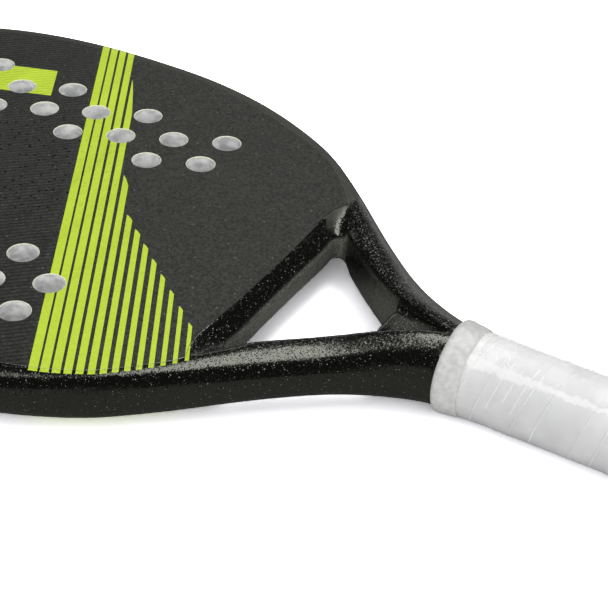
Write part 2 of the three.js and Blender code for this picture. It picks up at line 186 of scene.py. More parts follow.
def new_material(name, colour, roughness, **sockets):
    material = bpy.data.materials.new(name)
    material.use_nodes = True
    shader = material.node_tree.nodes["Principled BSDF"]
    shader.inputs["Base Color"].default_value = (*colour, 1)
    shader.inputs["Roughness"].default_value = roughness
    for socket, value in sockets.items():
        shader.inputs[socket.replace("_", " ")].default_value = value
    return material, material.node_tree, shader


def add(tree, kind, **settings):
    node = tree.nodes.new(kind)
    for key, value in settings.items():
        setattr(node, key, value)
    return node


def feed(socket, value):
    """Sets a socket to a value, or links it to another socket."""
    if isinstance(value, bpy.types.NodeSocket):
        value.id_data.links.new(value, socket)
    elif socket.type == "RGBA":
        socket.default_value = (*value, 1)
    else:
        socket.default_value = value


def object_point(tree):
    return add(tree, "ShaderNodeTexCoord").outputs["Object"]


def grain(point, scale, detail=2.0, stretch=None):
    tree = point.id_data
    if stretch:
        mapping = add(tree, "ShaderNodeMapping")
        feed(mapping.inputs["Scale"], stretch)
        feed(mapping.inputs["Vector"], point)
        point = mapping.outputs["Vector"]
    texture = add(tree, "ShaderNodeTexNoise")
    feed(texture.inputs["Scale"], scale)
    feed(texture.inputs["Detail"], detail)
    feed(texture.inputs["Vector"], point)
    return texture.outputs["Fac"]


def ramp(value, stops):
    node = add(value.id_data, "ShaderNodeValToRGB")
    elements = node.color_ramp.elements
    while len(elements) < len(stops):
        elements.new(0.5)
    for element, (place, colour) in zip(elements, stops):
        element.position = place
        element.color = (*colour, 1)
    feed(node.inputs["Fac"], value)
    return node.outputs["Color"]


def greys(*stops):
    return [(place, (level,) * 3) for place, level in stops]


def tree_of(values):
    """The node tree of the first socket among the values."""
    return next(value.id_data for value in values if isinstance(value, bpy.types.NodeSocket))


def blend(share, a, b):
    node = add(tree_of((share, a, b)), "ShaderNodeMix", data_type="RGBA")
    for socket, value in zip((0, 6, 7), (share, a, b)):
        feed(node.inputs[socket], value)
    return node.outputs[2]


def bump(shader, height, distance, strength=1.0):
    node = add(height.id_data, "ShaderNodeBump")
    feed(node.inputs["Distance"], distance)
    feed(node.inputs["Strength"], strength)
    feed(node.inputs["Height"], height)
    feed(shader.inputs["Normal"], node.outputs["Normal"])
    return node


foam_material, foam_tree, foam_shader = new_material("foam", (0.52, 0.525, 0.53), 0.62)
foam_point = object_point(foam_tree)
streak = grain(foam_point, 170, 5, (1, 1, 1.7))
cloud = grain(foam_point, 60, 2)
streak_colour = ramp(streak, [(0.40, (0.42, 0.43, 0.44)), (0.60, (1.0, 1.0, 0.985))])
cloud_colour = ramp(cloud, [(0.35, (0.68, 0.68, 0.70)), (0.65, (0.95, 0.95, 0.92))])
feed(foam_shader.inputs["Base Color"], blend(0.42, streak_colour, cloud_colour))
bump(foam_shader, grain(foam_point, 2600, 3), 0.12 * mm, 0.6)

# The core lies inside the frame tube and ends in a straight cut above the yoke.
core_inset, core_end, core_half_thick = 17.5 * mm, -24 * mm, 9.7 * mm
core_edge = [point + inward * core_inset for point, inward in stations]
core_half = [(p.x, p.y) for p in core_edge if p.y > core_end]
core_half.append((core_half[-1][0], core_end))
core_mesh = drilled_plate("core", core_half, hole_radius, -core_half_thick, core_half_thick,
                          0.05 * mm)
finish_object("drilled_foam_core", core_mesh, [foam_material], ["foam_core"], 30)


# Stripes: fourteen lime bands run across the face at a slant. Four reach the far edge and
# the others end in bevelled tips. One broad bar stands by itself higher up.
stripe_slant = math.radians(29.6)
lime = (0.482, 0.645, 0.038)


def maths(operation, *values, clamp=False):
    node = add(tree_of(values), "ShaderNodeMath", operation=operation, use_clamp=clamp)
    for socket, value in zip(node.inputs, values):
        feed(socket, value)
    return node.outputs[0]


def product(first, *others):
    for other in others:
        first = maths("MULTIPLY", first, other)
    return first


def total(first, *others):
    for other in others:
        first = maths("ADD", first, other)
    return first


def largest(first, *others):
    for other in others:
        first = maths("MAXIMUM", first, other)
    return first


def split_xyz(point):
    node = add(point.id_data, "ShaderNodeSeparateXYZ")
    feed(node.inputs[0], point)
    return node.outputs


def stripe_group():
    """Where a point of the face lies in the lime pattern, worked out in millimetres."""
    tree = bpy.data.node_groups.new("stripes", "ShaderNodeTree")
    tree.interface.new_socket("Point", in_out="INPUT", socket_type="NodeSocketVector")
    tree.interface.new_socket("Lime", in_out="OUTPUT", socket_type="NodeSocketFloat")
    tree.interface.new_socket("Across", in_out="OUTPUT", socket_type="NodeSocketFloat")
    entry = add(tree, "NodeGroupInput")
    leave = add(tree, "NodeGroupOutput")
    x, y, _ = split_xyz(entry.outputs["Point"])

    def turned(share_x, share_y):
        return total(product(x, share_x / mm), product(y, share_y / mm))

    across = turned(-math.sin(stripe_slant), math.cos(stripe_slant))
    along = turned(math.cos(stripe_slant), math.sin(stripe_slant))
    # The first stripe's place, the pitch, its width and how much narrower each next one is.
    first, pitch, widest, narrowing = 55.6, 4.33, 3.45, 0.145
    place = maths("DIVIDE", maths("SUBTRACT", first, across), pitch)
    number = maths("FLOOR", place)
    within = product(maths("FRACT", place), pitch)
    width = maths("SUBTRACT", widest, product(number, narrowing))
    inside = maths("LESS_THAN", within, width)
    stripe_count, full_length_count = 14, 4
    counted = product(maths("GREATER_THAN", number, -0.5),
                      maths("LESS_THAN", number, stripe_count - 0.5))
    # Each stripe ends a step before the last one. The fifth and sixth reach further than
    # that and have longer tips.
    first_end, end_step, fifth_extra, sixth_extra = 82.0, 10.36, 96.5, 20.6
    fifth_tip, sixth_tip, tip_per_width, tip_power = 28.0, 4.0, 1.6, 1.4
    end = maths("SUBTRACT", first_end, product(number, end_step))
    long_ones = product(maths("LESS_THAN", number, full_length_count - 0.5), 1000)
    is_fifth = maths("COMPARE", number, 4, 0.4)
    is_sixth = maths("COMPARE", number, 5, 0.4)
    longer = total(product(is_fifth, fifth_extra), product(is_sixth, sixth_extra))
    end = total(end, total(long_ones, longer))
    side = maths("DIVIDE", within, width)
    tip = total(product(is_fifth, fifth_tip), product(is_sixth, sixth_tip),
                product(width, tip_per_width))
    bevel = product(maths("POWER", side, tip_power), tip)
    short = maths("LESS_THAN", along, maths("SUBTRACT", end, bevel))
    # The bar's long sides run with the stripes, and its ends are cut at another slant.
    bar_slant, bar_along, half_bar_width = (0.9336, 0.358), 117.4, 12.0
    bar_across, half_bar_length = 98.5, 24.0
    bar = product(maths("COMPARE", turned(*bar_slant), bar_along, half_bar_width),
                  maths("COMPARE", across, bar_across, half_bar_length))
    feed(leave.inputs["Lime"], largest(product(inside, counted, short), bar))
    feed(leave.inputs["Across"], across)
    return tree


stripes = stripe_group()


def lime_mask(point):
    group = add(point.id_data, "ShaderNodeGroup", node_tree=stripes)
    feed(group.inputs["Point"], point)
    return group.outputs["Lime"], group.outputs["Across"]


# Face sheets: two thin fibre laminates glued over the core, painted matte charcoal with
# a fine granular tooth. The bare laminate shows as a cream rim in each hole.

# The face's lower edge beside the yoke, in millimetres.
face_end = [(0, -35.0), (20, -35.0), (36, -34.3), (48, -33.3), (56, -34.2), (63.6, -37.0)]
# Where the flat top turns into the round rim: place along the racket and distance from the
# outline, in metres.
crease_table = [(0.013, 0.01034), (0.0019, 0.0091), (-0.0079, 0.00787), (-0.0189, 0.00682),
                (-0.0303, 0.0075), (-0.040, 0.00888), (-0.0479, 0.01104), (-0.0558, 0.01267),
                (-0.0637, 0.0138), (-0.090, 0.0141), (-0.105, 0.0150), (-0.117, 0.0165)]


def mix(a, b, share):
    return a + (b - a) * share


def crease_depth(y):
    if y >= crease_table[0][0]:
        return crease_table[0][1]
    for (y_a, depth_a), (y_b, depth_b) in zip(crease_table, crease_table[1:]):
        if y >= y_b:
            return mix(depth_b, depth_a, (y - y_b) / (y_a - y_b))
    return crease_table[-1][1]


def vector_maths(operation, *values, scale=None):
    node = add(tree_of(values), "ShaderNodeVectorMath", operation=operation)
    for socket, value in zip(node.inputs, values):
        feed(socket, value)
    if scale:
        feed(node.inputs["Scale"], scale)
    return node.outputs


def specks(point, cells, radius, dimensions="3D"):
    """A mask of round specks, one in the middle of each cell."""
    texture = add(point.id_data, "ShaderNodeTexVoronoi", voronoi_dimensions=dimensions)
    feed(texture.inputs["Scale"], cells)
    feed(texture.inputs["Vector"], point)
    return maths("LESS_THAN", texture.outputs["Distance"], radius)


def grained_material(name, colour, roughness, cells, detail, stops, relief=None, **sockets):
    """A material with a fine grain in its colour and, where relief says it, in its surface."""
    material, tree, shader = new_material(name, colour, roughness, **sockets)
    point = object_point(tree)
    feed(shader.inputs["Base Color"], ramp(grain(point, cells, detail), stops))
    if relief:
        relief_cells, depth, strength = relief
        bump(shader, grain(point, relief_cells, 3), depth, strength)
    return material


face_material, face_tree, face_shader = new_material(
    "charcoal_paint", (0.047, 0.049, 0.044), 0.55, Specular_IOR_Level=0.25)
face_point = object_point(face_tree)
charcoal_colour = ramp(grain(face_point, 900, 3),
                       [(0.34, (0.014, 0.015, 0.012)), (0.68, (0.046, 0.0485, 0.0395))])
is_lime, across_stripes = lime_mask(face_point)
# The cloth shows through the paint above the stripes, as fine ribs at 45 degrees.
face_x, face_y, _ = split_xyz(face_point)
rib_pitch = 2.3 * mm
rib_place = product(total(face_x, face_y), 2 * math.pi / rib_pitch / math.sqrt(2))
rib_wander = product(grain(face_point, 90, 2), 3.0)
rib_wave = maths("SINE", total(rib_place, rib_wander))
bare_side = ramp(maths("DIVIDE", across_stripes, 100.0), greys((0.54, 0), (0.60, 1)))
rib_height = product(rib_wave, bare_side)
# The troughs between the ribs are drawn darker than the charcoal: painted shade in the troughs.
painted_rib_shade = product(maths("SUBTRACT", bare_side, rib_height), 0.36)
charcoal_colour = blend(painted_rib_shade, charcoal_colour, (0.004, 0.004, 0.004))
# Light specks of dust, and small black dots, most of them round the middle of the head.
dark_speck = specks(face_point, 170, 0.10, "2D")
light_speck = specks(face_point, 70, 0.02, "2D")
off_middle = vector_maths("DISTANCE", face_point, (14 * mm, 96 * mm, half_thick))["Value"]
dark_dot_share = ramp(maths("DIVIDE", off_middle, 100 * mm), greys((0.34, 0.95), (0.52, 0.15)))
lime_tone = ramp(grain(face_point, 400, 2),
                 [(0.3, (0.462, 0.625, 0.033)), (0.7, (0.505, 0.668, 0.044))])
painted = blend(is_lime, charcoal_colour, lime_tone)
unpainted = maths("SUBTRACT", 1.0, product(is_lime, 0.8))
dark_dots = product(dark_speck, dark_dot_share, unpainted)
painted = blend(dark_dots, painted, (0.0, 0.0, 0.0))
painted = blend(product(light_speck, 0.3), painted, (0.5, 0.5, 0.48))
feed(face_shader.inputs["Base Color"], painted)
fine_tooth = grain(face_point, 1500, 3)
coarse_tooth = product(grain(face_point, 420, 2), 1.2)
relief_height = total(fine_tooth, coarse_tooth, product(rib_height, 0.45))
bump(face_shader, relief_height, 0.3 * mm)
face_rough = total(0.47, product(grain(face_point, 700, 2), 0.16), product(dark_dots, 0.4))
feed(face_shader.inputs["Roughness"], face_rough)

hole_rim_material = grained_material("laminate_edge", (0.62, 0.62, 0.52), 0.5, 900, 3,
                                     [(0.3, (0.66, 0.66, 0.52)), (0.7, (0.90, 0.90, 0.78))])
# The sheet's outer edge along the rim is drawn light lavender grey: a painted highlight line along
# the face's edge.
rim_edge_highlight_material = grained_material("sheet_edge_highlight", (0.30, 0.29, 0.33), 0.3, 500, 2,
                                 [(0.35, (0.10, 0.10, 0.11)), (0.65, (0.42, 0.40, 0.46))])
yoke_seam_material = grained_material("painted_sheet_edge", (0.004, 0.004, 0.004), 0.3, 900, 2,
                                      [(0.35, (0.002, 0.002, 0.002)), (0.7, (0.012, 0.012, 0.010))])
sheet_materials = [face_material, hole_rim_material, rim_edge_highlight_material, yoke_seam_material]

sheet_overlap, sheet_bevel, rim_of_hole = 0.1 * mm, 0.25 * mm, 0.2 * mm
side_edge_end, yoke_seam_start = -43.9 * mm, -31 * mm
sheet_half = [(0.0, stations[0][0].y - crease_depth(stations[0][0].y))]
for point, inward in stations[1:]:
    if point.y > side_edge_end:
        edge = point + inward * (crease_depth(point.y) + sheet_overlap)
        sheet_half.append((max(edge.x, 0.0), edge.y))
sheet_half += [(x * mm, y * mm) for x, y in reversed(face_end)]
for name, node, side in (("front_sheet", "front_face", 1), ("back_sheet", "back_face", -1)):
    low, high = sorted((side * core_half_thick, side * half_thick))
    sheet_mesh = drilled_plate(name, sheet_half, hole_radius - rim_of_hole, low, high, sheet_bevel)
    sheet = finish_object(name, sheet_mesh, sheet_materials, [node], 40)
    for polygon in sheet.data.polygons:
        centre, normal = polygon.center, polygon.normal
        near_hole = any((centre.x - x) ** 2 + (centre.y - y) ** 2 < (hole_radius * 1.03) ** 2
                        for x, y in hole_places)
        if abs(normal.z) < 0.97 and near_hole:
            polygon.material_index = sheet_materials.index(hole_rim_material)
        elif abs(normal.z) < 0.95 and not near_hole:
            towards_rim = math.copysign(1, centre.x) * normal.x > 0.3 * math.hypot(*normal.xy)
            on_rim_side = towards_rim or centre.y > yoke_seam_start
            edge_material = rim_edge_highlight_material if on_rim_side else yoke_seam_material
            polygon.material_index = sheet_materials.index(edge_material)


# Frame: one hollow fibre tube, moulded in one with the yoke that closes the head and the
# wedge between the legs, then lacquered gloss black. Its pieces are joined and skinned.
rim_points = 28


def smooth_share(value, start, end):
    share = min(max((value - start) / (end - start), 0.0), 1.0)
    return share * share * (3 - 2 * share)


def placed_grid(across, along, place, fill_ends=True):
    """A tube skinned over place(u, v), where u runs round it and v along it, from 0 to 1."""
    bm = bmesh.new()
    bmesh.ops.create_grid(bm, x_segments=across, y_segments=along, size=0.5)
    for vertex in bm.verts:
        vertex.co = place(vertex.co.x + 0.5, vertex.co.y + 0.5)
    bmesh.ops.remove_doubles(bm, verts=bm.verts, dist=1e-7)
    if fill_ends:
        bmesh.ops.holes_fill(bm, edges=[edge for edge in bm.edges if edge.is_boundary])
    bmesh.ops.recalc_face_normals(bm, faces=bm.faces)
    return bm


def tube_section(y, flare):
    """The tube's section as (depth from the outline, height), round from the face's edge."""
    crease = crease_depth(y)
    half_height = mix(half_thick, neck_half_depth, flare)
    upper_height = mix(half_thick, neck_half_depth, smooth_share(-y, 78 * mm, 118 * mm))
    roundness = mix(mix(2.3, 2.65, smooth_share(-y, 24 * mm, 48 * mm)), 2.2, flare)
    section = []
    for i in range(rim_points + 1):
        angle = math.pi / 2 - math.pi * i / rim_points
        fullness = roundness
        if angle <= 0:
            fullness = mix(roundness, min(roundness, 2.0), smooth_share(y, -28 * mm, 0.0))
        depth = crease * (1 - max(math.cos(angle), 0.0) ** (2 / fullness))
        height = upper_height if angle > 0 else -half_height
        height *= abs(math.sin(angle)) ** (2 / fullness)
        section.append((depth, height))
    # Beside the bridge the inner wall is scooped out to make room for the throat's slope.
    scoop = smooth_share(-y, 34 * mm, 42 * mm) * smooth_share(y, -64 * mm, -56 * mm)
    wall_top = mix(7.2 * mm, 3.0 * mm, scoop)
    shoulder_drop = mix(0.35 * mm, 2.0 * mm, scoop)

    def inner(top):
        return [(crease + 0.6 * mm, top - shoulder_drop * 0.3),
                (mix(crease, tube_width, 0.5), top - shoulder_drop),
                (tube_width - 1.6 * mm, top - shoulder_drop - 0.5 * mm),
                (tube_width - 0.5 * mm, wall_top + 1.2 * mm),
                (tube_width - 0.2 * mm, wall_top * 0.7), (tube_width - 0.1 * mm, 0)]

    lower = [(depth, -height) for depth, height in inner(half_height)]
    return section + lower[:-1] + list(reversed(inner(upper_height)))


tube_across = len(tube_section(0, 0))


def tube_place(u, v):
    ring = tube_rings[int(round(v * (len(tube_rings) - 1)))]
    return ring[int(round(u * tube_across)) % tube_across]


right_rings = []
for point, inward in stations:
    section = tube_section(point.y, smooth_share(-point.y, 76 * mm, 124 * mm))
    # Where the legs meet, each is cut off just past the centre line.
    room = (point.x + 0.6 * mm) / max(-inward.x, 1e-6) if point.y < -40 * mm else tube_width
    width = min(tube_width, room)
    right_rings.append([point + inward * (depth * width / tube_width) + Vector((0, 0, height))
                        for depth, height in section])
# Under the grip the legs run on to the butt, thinner. Each row has a place along the
# handle, half the width and half the depth there, in millimetres.
for y, half_width, half_depth in ((-119.5, 17.4, 15.3), (-127, 12, 9.5), (-239.5, 12, 9.5)):
    right_rings.append([Vector((half_width * mm - depth / tube_width * (half_width + 0.5) * mm,
                                y * mm, height / neck_half_depth * half_depth * mm))
                        for depth, height in tube_section(collar_y, 1.0)])
left_rings = [[Vector((-p.x, p.y, p.z)) for p in ring] for ring in reversed(right_rings[1:])]
tube_rings = left_rings + right_rings
frame_bm = placed_grid(tube_across, len(tube_rings) - 1, tube_place)

# Each row is a place on the throat's wall, the place where the slope above it begins and
# how much the section there is the bridge's. All in millimetres, and for the right half.
throat_rows = [((0, -42.1), (0, -35.0), 1), ((15, -42.1), (15, -35.1), 1),
               ((28, -42.4), (28, -34.8), 1), ((37, -42.3), (40, -34.2), 1),
               ((42.0, -42.0), (49, -33.6), 1), ((44.4, -43.1), (57, -34.6), 1),
               ((45.1, -45.2), (62.8, -38.2), 0.9), ((44.0, -48.0), (57.5, -42.8), 0.7),
               ((39.8, -53.2), (47.0, -50.8), 0.3), ((34.2, -59.2), (38.6, -61.4), 0),
               ((28.4, -65.6), (31.9, -68.4), 0), ((22.6, -72.4), (26.2, -75.0), 0),
               ((15.9, -80.9), (19.6, -83.4), 0)]
# Depth behind the wall and height above the middle plane, up the two kinds of section.
bridge_profile = [(0, 0), (0, 2.2), (0.1, 3.6), (0.5, 4.8), (1.3, 5.6), (2.6, 6.35), (3.6, 7.1),
                  (4.8, 8.1), (6.0, 9.3), (7.1, 10.4)]
leg_profile = [(0, 0), (0, 4.0), (0.1, 6.2), (0.4, 7.8), (1.0, 9.0), (1.9, 9.8), (2.5, 10.05),
               (3.1, 10.2), (3.7, 10.3), (4.3, 10.4)]


def smooth_row(t):
    """Reads the throat's rows as a smooth curve, mirrored past the centre line."""
    position = abs(t) * (len(throat_rows) - 1)
    at = min(int(position), len(throat_rows) - 2)
    share = position - at

    def knot(i):
        if i < 0:
            (x, y), (crease_x, crease_y), share_here = throat_rows[-i]
            return Vector((-x, y, -crease_x)), crease_y, share_here
        (x, y), (crease_x, crease_y), share_here = throat_rows[min(i, len(throat_rows) - 1)]
        return Vector((x, y, crease_x)), crease_y, share_here

    rows = [knot(at + k) for k in (-1, 0, 1, 2)]

    def catmull(a, b, c, d):
        return 0.5 * ((2 * b) + (c - a) * share + (2 * a - 5 * b + 4 * c - d) * share**2
                      + (3 * b - a - 3 * c + d) * share**3)

    spots = catmull(*[row[0] for row in rows])
    crease_y = catmull(*[row[1] for row in rows])
    bridge_share = mix(rows[1][2], rows[2][2], share)
    side = 1 if t >= 0 else -1
    wall = Vector((side * spots.x, spots.y, 0))
    crease = Vector((side * spots.z, crease_y, 0))
    return wall * mm, crease * mm, bridge_share


def throat_ring(t):
    wall, crease, bridge_share = smooth_row(t)
    outward = crease - wall
    reach = outward.length
    outward.normalize()
    sink = 0.5 * mm * smooth_share(abs(t), 0.86, 1.0)
    ring = []
    # The first part of the section keeps its size. The rest is stretched to the crease, and
    # two last points run on into the frame tube.
    full = mix(leg_profile[-1][0], bridge_profile[-1][0], bridge_share) * mm
    kept = min(2.6 * mm, full * 0.5)
    for on_bridge, on_leg in zip(bridge_profile, leg_profile):
        depth, height = [mix(a, b, bridge_share) * mm for a, b in zip(on_leg, on_bridge)]
        if depth > kept:
            depth = kept + (depth - kept) / (full - kept) * (reach - kept)
        ring.append((depth + sink, height - sink))
    last = ring[-1][0]
    ring += [(last + 3.0 * mm, 10.2 * mm - sink), (last + 3.5 * mm, 0)]
    lower = [(depth, -height) for depth, height in reversed(ring[1:-1])]
    return [wall + outward * depth + Vector((0, 0, height)) for depth, height in ring + lower]


throat_steps = 160
throat_rings = [throat_ring(-1 + 2 * i / throat_steps) for i in range(throat_steps + 1)]
throat_across = len(throat_rings[0])


def throat_place(u, v):
    return throat_rings[int(round(v * throat_steps))][int(round(u * throat_across)) % throat_across]


throat_bm = placed_grid(throat_across, throat_steps, throat_place)

# The wedge rises from a rounded front edge between the legs to full height at the collar.
web_front, web_back, web_nose = -86.6 * mm, -118 * mm, 2.2 * mm
web_front_half, web_back_half = 8.9 * mm, 14.2 * mm
web_steps, web_across = 40, 48


def web_place(u, v):
    y = mix(web_front, web_back, v)
    point, inward = min((station for station in stations if station[0].y <= -60 * mm),
                        key=lambda station: abs((station[0] + station[1] * tube_width).y - y))
    nose = min(1.0, v * (web_front - web_back) / web_nose)
    rounding = mix(0.55, 1.0, math.sqrt(1 - (1 - nose) ** 2))
    half_width = max((point + inward * (tube_width - 2.5 * mm)).x, 4 * mm) * rounding
    half_height = mix(web_front_half, web_back_half, v) * rounding
    angle = 2 * math.pi * u
    return Vector((half_width * math.copysign(abs(math.cos(angle)) ** 0.5, math.cos(angle)), y,
                   half_height * math.copysign(abs(math.sin(angle)) ** 0.5, math.sin(angle))))


web_bm = placed_grid(web_across, web_steps, web_place)
joined = bpy.data.meshes.new("frame_parts")
for extra in (throat_bm, web_bm):
    part_mesh = bpy.data.meshes.new("part")
    extra.to_mesh(part_mesh)
    extra.free()
    frame_bm.from_mesh(part_mesh)
frame_bm.to_mesh(joined)
frame_bm.free()
holder = bpy.data.objects.new("frame_parts", joined)
bpy.context.scene.collection.objects.link(holder)
skin = holder.modifiers.new("skin", "REMESH")
skin.mode = "VOXEL"
skin.voxel_size = 1.03 * mm
relax = holder.modifiers.new("relax", "SMOOTH")
relax.factor = 0.5
relax.iterations = 5
depsgraph = bpy.context.evaluated_depsgraph_get()
frame_mesh = bpy.data.meshes.new_from_object(holder.evaluated_get(depsgraph))
bpy.data.objects.remove(holder)

# Values on the skin for its material: how far a point lies past the face's edge, how much lighter
# grey the throat's wall is drawn, with a painted sheen on the web's top, and where the rim beside the
# face has the face's matte paint.
edge_tree = KDTree(len(stations))
for i, (point, _) in enumerate(stations):
    edge_tree.insert(point, i)
edge_tree.balance()
edge_values, wall_and_sheen_values, paint_values = [], [], []
for vertex in frame_mesh.vertices:
    flat = Vector((abs(vertex.co.x), vertex.co.y, 0))
    _, i, _ = edge_tree.find(flat)
    point, inward = stations[i]
    depth = (flat - point).dot(inward)
    past = depth - crease_depth(point.y) if vertex.co.z > 3 * mm else -1.0
    edge_values.append(past)
    beside_face = max(smooth_share(vertex.co.y, 16 * mm, 30 * mm),
                      smooth_share(vertex.co.y, -40 * mm, -34 * mm) * (vertex.co.x > 0))
    paint_values.append(beside_face * smooth_share(past, -6.6 * mm, -6.0 * mm) * (past < 12 * mm))
    inside = smooth_share(depth, 16.2 * mm, 17.4 * mm) * smooth_share(vertex.co.y, -88 * mm, -86 * mm)
    on_bridge = smooth_share(vertex.co.y, -49 * mm, -45 * mm)
    low_on_leg = smooth_share(-vertex.co.y, 58 * mm, 82 * mm)
    wall_greying = mix(mix(0.02, 0.56, low_on_leg), 1.0, on_bridge)
    wall = wall_greying * inside * (1 - smooth_share(abs(vertex.normal.z), 0.35, 0.75))
    # The web's top gets a lighter patch: a painted sheen.
    on_web = smooth_share(-vertex.co.y, 88 * mm, 93 * mm)
    on_web *= smooth_share(vertex.co.y, -114 * mm, -98 * mm)
    painted_web_sheen = (0.3 * on_web * smooth_share(-abs(vertex.co.x), -7 * mm, -2 * mm)
               * smooth_share(vertex.normal.z, 0.8, 0.97))
    wall_and_sheen_values.append(max(wall, painted_web_sheen))
for name, values in (("past_crease", edge_values), ("wall_grey_and_web_sheen", wall_and_sheen_values),
                     ("matte_paint", paint_values)):
    frame_mesh.attributes.new(name, "FLOAT", "POINT").data.foreach_set("value", values)

lacquer_black, lacquer_roughness = (0.003, 0.0034, 0.003), 0.16
frame_material, frame_tree, frame_shader = new_material(
    "gloss_lacquer", lacquer_black, lacquer_roughness,
    Specular_IOR_Level=0.73, Specular_Tint=(0.98, 1.0, 0.86, 1))
frame_point = object_point(frame_tree)
past, wall_and_sheen, matte = [add(frame_tree, "ShaderNodeAttribute", attribute_name=name).outputs["Fac"]
                          for name in ("past_crease", "wall_grey_and_web_sheen", "matte_paint")]
# The stripes run a little way over the edge of the face, down to the yoke's slope.
painted_side = largest(matte, maths("GREATER_THAN", past, -1.9 * mm))
above_yoke = maths("LESS_THAN", past, 16 * mm)
on_rim = product(painted_side, above_yoke)
rim_lime = product(lime_mask(frame_point)[0], on_rim)
# Glitter flakes in the lacquer, drawn as light grey specks whatever the light: painted glints of the
# flakes.
glitter_glints = specks(frame_point, 1500, 0.20)
glint_pick = maths("GREATER_THAN", grain(frame_point, 1100, 1), 0.64)
wall_tone = ramp(grain(frame_point, 1400, 2),
                 [(0.35, (0.046, 0.046, 0.040)), (0.62, (0.175, 0.173, 0.152))])
# Grey on the throat's wall, and the painted sheen on the web's top.
lacquer = blend(wall_and_sheen, lacquer_black, wall_tone)
lacquer = blend(product(glitter_glints, glint_pick, 0.6), lacquer, (0.5, 0.5, 0.5))
rim_paint = ramp(grain(frame_point, 900, 3),
                 [(0.3, (0.015, 0.016, 0.013)), (0.72, (0.038, 0.040, 0.033))])
lacquer = blend(matte, lacquer, rim_paint)
lacquer = blend(rim_lime, lacquer, lime)
feed(frame_shader.inputs["Base Color"], lacquer)
dulled = total(product(wall_and_sheen, 0.3), product(matte, 0.5), lacquer_roughness)
feed(frame_shader.inputs["Roughness"], dulled)
orange_peel = bump(frame_shader, grain(frame_point, 700, 1), 0.06 * mm)
# Glitter flakes lie tilted under the lacquer, few of them steeply.
grit = add(frame_tree, "ShaderNodeTexVoronoi")
feed(grit.inputs["Scale"], 2800)
feed(grit.inputs["Vector"], frame_point)
lean = vector_maths("SUBTRACT", grit.outputs["Color"], (0.5, 0.5, 0.5))["Vector"]
grit_pick = add(frame_tree, "ShaderNodeTexWhiteNoise", noise_dimensions="3D")
feed(grit_pick.inputs["Vector"], grit.outputs["Position"])
most_tilt = maths("SUBTRACT", 1.55, product(largest(wall_and_sheen, matte), 1.38))
steepness = product(maths("POWER", grit_pick.outputs["Value"], 6.0), most_tilt)
tilt = vector_maths("SCALE", lean, scale=steepness)["Vector"]
tilted = vector_maths("ADD", orange_peel.outputs["Normal"], tilt)["Vector"]
feed(frame_shader.inputs["Normal"], vector_maths("NORMALIZE", tilted)["Vector"])
finish_object("moulded_frame", frame_mesh, [frame_material],
              ["frame_tube", "throat_bridge", "throat_web"])


# Foams inside the handle: bare moulded rigid foam fills the two legs, and two half shells
# round the handle for the grip. They keep the shapes of their solids.
rigid_material = grained_material("rigid_foam", (0.62, 0.52, 0.34), 0.75, 500, 4,
                                  [(0.3, (0.52, 0.42, 0.26)), (0.7, (0.70, 0.60, 0.42))],
                                  (1800, 0.2 * mm, 0.7))
for node in ("left_leg_foam", "right_leg_foam", "front_handle_pallet", "back_handle_pallet"):
    for material_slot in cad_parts[node].material_slots:
        material_slot.material = rigid_material


# Base grip: a cushioned strip is wound round the handle from the butt to the collar. Its
# long edges are rounded, and a narrow groove is left between the turns.
grip_front, grip_back = -124 * mm, -244.7 * mm
grip_pitch, strip_width, tip_width = 24 * mm, 23.92 * mm, 1.5 * mm


def pallet_radius(y):
    front, waist, heel = 14.7 * mm, 14.6 * mm, 15.8 * mm
    start, end = -126 * mm, -241 * mm
    middle = (start + end) / 2
    if y > middle:
        return mix(front, waist, smooth_share(-y, -start, -middle))
    return mix(waist, heel, smooth_share(-y, -middle, -end))


def wound_strip(start_angle, width, lift, thickness, corner, edge_bead=0.0, front_lift=0.0):
    """A strip wound round the handle, lift above it, with its corners rounded off."""
    steps_per_turn = 96
    first = tip_width / grip_pitch
    last = (grip_front - tip_width - grip_back + width) / grip_pitch
    steps = int((last - first) * steps_per_turn)
    # Each point of the strip's section: share of the width, reach past it, height.
    top = [(i / 14, 0.0, 1.0) for i in range(15)]
    section = top + [(1, 0.7, 0.75), (1, 1.0, 0.4), (1, 1.0, 0.0), (0.5, 0.0, 0.0), (0, -1.0, 0.0),
                     (0, -1.0, 0.4), (0, -0.7, 0.75)]

    def place(u, v):
        turn = mix(first, last, v)
        low = max(grip_back, grip_back + turn * grip_pitch - width)
        high = min(grip_front, grip_back + turn * grip_pitch)
        angle = start_angle - 2 * math.pi * turn
        share, reach, level = section[int(round(u * len(section))) % len(section)]
        y = mix(low + corner, high - corner, share) + reach * corner
        to_edge = min(y - low, high - y)
        radius = pallet_radius(y) + lift + thickness * level
        radius += edge_bead * math.exp(-(to_edge / (0.6 * mm)) ** 2)
        radius += front_lift * smooth_share(y, -138 * mm, -131 * mm)
        return Vector((radius * math.sin(angle), y, radius * math.cos(angle)))

    return placed_grid(len(section), steps, place)


def new_object(name, bm, material, node, smooth_angle):
    mesh = bpy.data.meshes.new(name)
    bm.to_mesh(mesh)
    bm.free()
    return finish_object(name, mesh, [material], [node], smooth_angle)


grip_start = math.radians(115)
grip_material = grained_material("grip_wrap", (0.80, 0.80, 0.80), 0.5, 260, 3,
                                 [(0.3, (0.68, 0.68, 0.685)), (0.7, (0.77, 0.77, 0.765))],
                                 (1200, 0.06 * mm, 0.5), Specular_IOR_Level=0.12)
grip_bm = wound_strip(grip_start, strip_width, lift=0.3 * mm, thickness=1.7 * mm, corner=0.12 * mm)
new_object("cushion_grip", grip_bm, grip_material, "base_grip", 50)


# Film: the clear protective wrap that a new grip is sold in, wound with the same pitch.
film_start = math.radians(236)
film_width = 23.98 * mm


